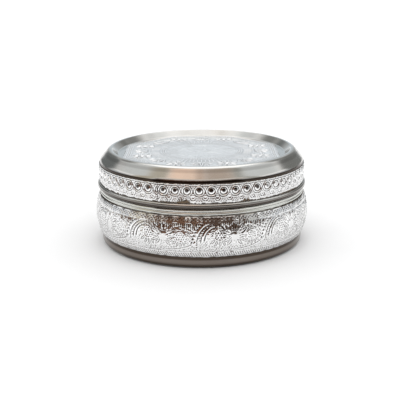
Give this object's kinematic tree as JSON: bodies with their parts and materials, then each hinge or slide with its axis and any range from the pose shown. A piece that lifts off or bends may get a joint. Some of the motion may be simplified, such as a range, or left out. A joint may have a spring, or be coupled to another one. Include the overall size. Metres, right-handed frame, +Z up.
{
  "type": "round lidded box",
  "caption": "Round steel trinket or pill box with a lift-off push-on lid, clad in embossed silver foil bands and an octagonal top foil.",
  "frame": {"origin": "centre of the standing ring, on the surface that the box stands on", "axes": "+Z up along the box's axis; -Y is the front, towards which one flat side of the octagonal top foil faces; +X to the right"},
  "size_m": [0.084, 0.084, 0.0369],
  "materials": {
    "dull_steel": "turned stainless steel, fine rings round the axis, dull patches, dirt gathered at the foot and under the beads",
    "polished_steel": "turned and half-polished stainless steel, fine rings round the axis, dirt in the curl",
    "silver_foil": "thin embossed silver-coloured foil, bright on its ridges, tarnished in its hollows, slightly wrinkled",
    "adhesive": "old contact adhesive, dark brown where it shows at the foil's edges"
  },
  "bodies": {
    "box_body": {"body_shell": "dull_steel", "belly_adhesive": "adhesive", "belly_foil": "silver_foil"},
    "lid": {"lid_shell": "polished_steel", "lid_band_adhesive": "adhesive", "lid_band_foil": "silver_foil", "lid_top_adhesive": "adhesive", "lid_top_foil": "silver_foil"}
  },
  "joints": [
    {"name": "lid_lift", "type": "slide", "parent": "box_body", "child": "lid", "axis": [0, 0, 1], "range_m": [0, 0.045]}
  ]
}
